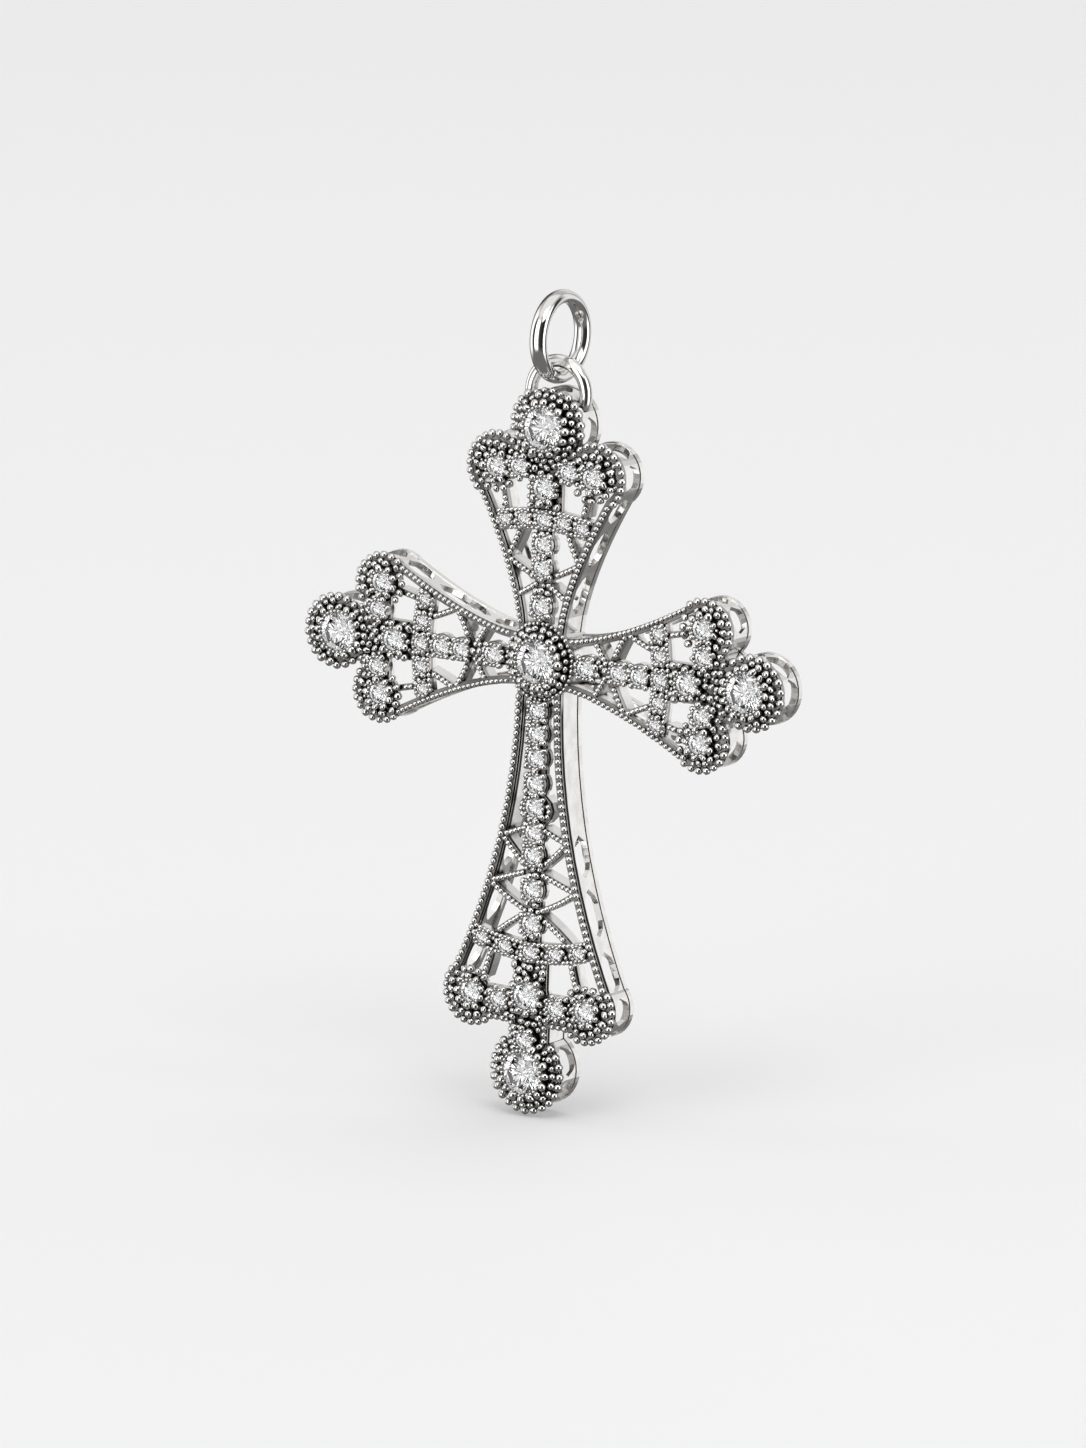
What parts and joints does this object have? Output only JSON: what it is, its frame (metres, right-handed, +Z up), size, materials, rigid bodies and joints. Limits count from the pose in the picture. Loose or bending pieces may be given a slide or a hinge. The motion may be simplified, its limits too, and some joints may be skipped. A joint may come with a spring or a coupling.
{
  "type": "cross pendant",
  "caption": "Openwork cross pendant with lobed arm ends, a raised rim, set round stones and a pierced gallery wall, hanging by a fixed loop from a jump ring.",
  "frame": {"origin": "the point inside the top of the jump ring where a chain carries the pendant", "axes": "+Z up along the cross, +X to the right seen from the front, the front faces -Y"},
  "size_m": [0.0376, 0.0062, 0.0552],
  "materials": {
    "silver": "polished white metal, darkened in the recesses",
    "stone": "clear faceted stone"
  },
  "bodies": {
    "ring": {"jump_ring": "silver"},
    "cross": {"cross_body": "silver", "band_stones": "stone", "column_stones": "stone", "stone_centre": "stone", "stone_inner_bottom_left": "stone", "stone_inner_bottom_right": "stone", "stone_inner_left_lower": "stone", "stone_inner_left_upper": "stone", "stone_inner_right_lower": "stone", "stone_inner_right_upper": "stone", "stone_inner_top_left": "stone", "stone_inner_top_right": "stone", "stone_lobe_bottom_left": "stone", "stone_lobe_bottom_right": "stone", "stone_lobe_left_lower": "stone", "stone_lobe_left_upper": "stone", "stone_lobe_right_lower": "stone", "stone_lobe_right_upper": "stone", "stone_lobe_top_left": "stone", "stone_lobe_top_right": "stone", "stone_mid_bottom": "stone", "stone_mid_left": "stone", "stone_mid_right": "stone", "stone_mid_top": "stone", "stone_neck_bottom": "stone", "stone_tip_bottom": "stone", "stone_tip_left": "stone", "stone_tip_right": "stone", "stone_tip_top": "stone"}
  },
  "joints": [
    {"name": "side_sway", "type": "hinge", "parent": "ring", "child": "cross", "pos_m": [0, 0, -0.00485], "axis": [0, 1, 0], "range_deg": [-60, 60]}
  ]
}
